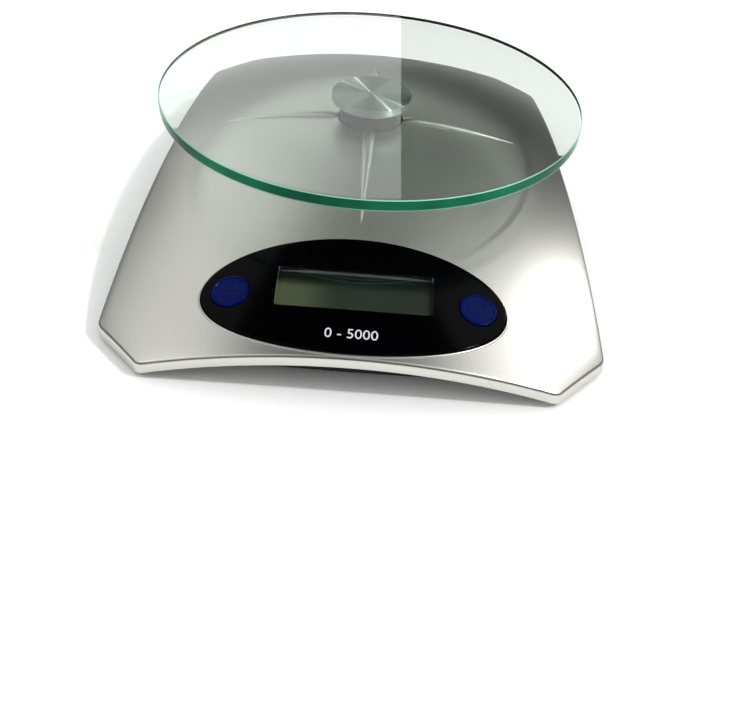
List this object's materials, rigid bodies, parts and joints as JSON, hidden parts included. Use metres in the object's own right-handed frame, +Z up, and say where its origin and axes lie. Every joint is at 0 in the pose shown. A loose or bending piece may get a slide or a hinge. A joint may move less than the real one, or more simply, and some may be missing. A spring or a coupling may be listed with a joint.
{
  "type": "digital kitchen scale",
  "caption": "Digital kitchen scale: round clear glass weighing plate on a post over a bowed silver body, with a black oval panel, a blank display window and round blue buttons.",
  "frame": {"origin": "on the table, under the middle of the box round the whole scale", "axes": "+X to the right, +Y to the back, +Z up; the panel and the buttons are at -Y"},
  "size_m": [0.1606, 0.1886, 0.047],
  "materials": {
    "silver_plastic": "satin silver paint",
    "black_gloss": "glossy",
    "clear_window": "clear",
    "display": "grey-green, blank",
    "grey_plastic": "moulded",
    "elastomer": "striped",
    "board": "solder mask",
    "black_resin": "cast",
    "white_plastic": "moulded",
    "black_plastic": "fine grain",
    "blue_plastic": "satin",
    "clear_glass": "polished, green edge",
    "turned_aluminium": "turned",
    "steel": "zinc plated",
    "silicone": "cast",
    "black_rubber": "matte",
    "battery_wrap": "printed sleeve, bare of print",
    "white_lead": "insulation",
    "red_lead": "insulation",
    "black_lead": "insulation"
  },
  "bodies": {
    "housing": {"top_shell": "silver_plastic", "display_panel": "black_gloss", "window_lens": "clear_window", "lcd_glass": "display", "lcd_holder": "grey_plastic", "zebra_strip": "elastomer", "circuit_board": "board", "board_screws": "steel", "chip": "black_resin", "header": "white_plastic", "unit_switch": "black_plastic", "on_switch": "black_plastic", "weighing_cell": "turned_aluminium", "gauge_cover": "silicone", "cell_screws": "steel", "stop_screw": "steel", "base": "black_plastic", "foot_front_left": "black_rubber", "foot_front_right": "black_rubber", "foot_back_left": "black_rubber", "foot_back_right": "black_rubber", "case_screws": "steel", "battery_front": "battery_wrap", "battery_back": "battery_wrap", "contact_bridge": "steel", "contact_front": "steel", "contact_back": "steel", "cell_lead": "white_lead", "front_lead": "red_lead", "back_lead": "black_lead"},
    "platform": {"weighing_plate": "clear_glass", "hub_disc": "turned_aluminium", "hub_post": "turned_aluminium", "hub_screws": "steel", "carrier": "grey_plastic", "carrier_screws": "steel"},
    "unit_key": {"unit_button": "blue_plastic", "unit_plunger": "white_plastic"},
    "on_key": {"on_button": "blue_plastic", "on_plunger": "white_plastic"},
    "door": {"battery_door": "black_plastic"}
  },
  "joints": [
    {"name": "plate_load", "type": "slide", "parent": "housing", "child": "platform", "axis": [0, 0, -1], "range_m": [0, 0.0005], "stiffness_N_per_m": 40000, "springref_m": -0.0001, "deforming": ["weighing_cell"]},
    {"name": "unit_press", "type": "slide", "parent": "housing", "child": "unit_key", "axis": [0.1701, 0.2606, -0.9503], "range_m": [0, 0.0004], "stiffness_N_per_m": 400, "springref_m": -0.0005},
    {"name": "on_press", "type": "slide", "parent": "housing", "child": "on_key", "axis": [-0.1701, 0.2606, -0.9503], "range_m": [0, 0.0004], "stiffness_N_per_m": 400, "springref_m": -0.0005},
    {"name": "door_slide", "type": "slide", "parent": "housing", "child": "door", "axis": [0, 1, 0], "range_m": [0, 0.04]}
  ]
}
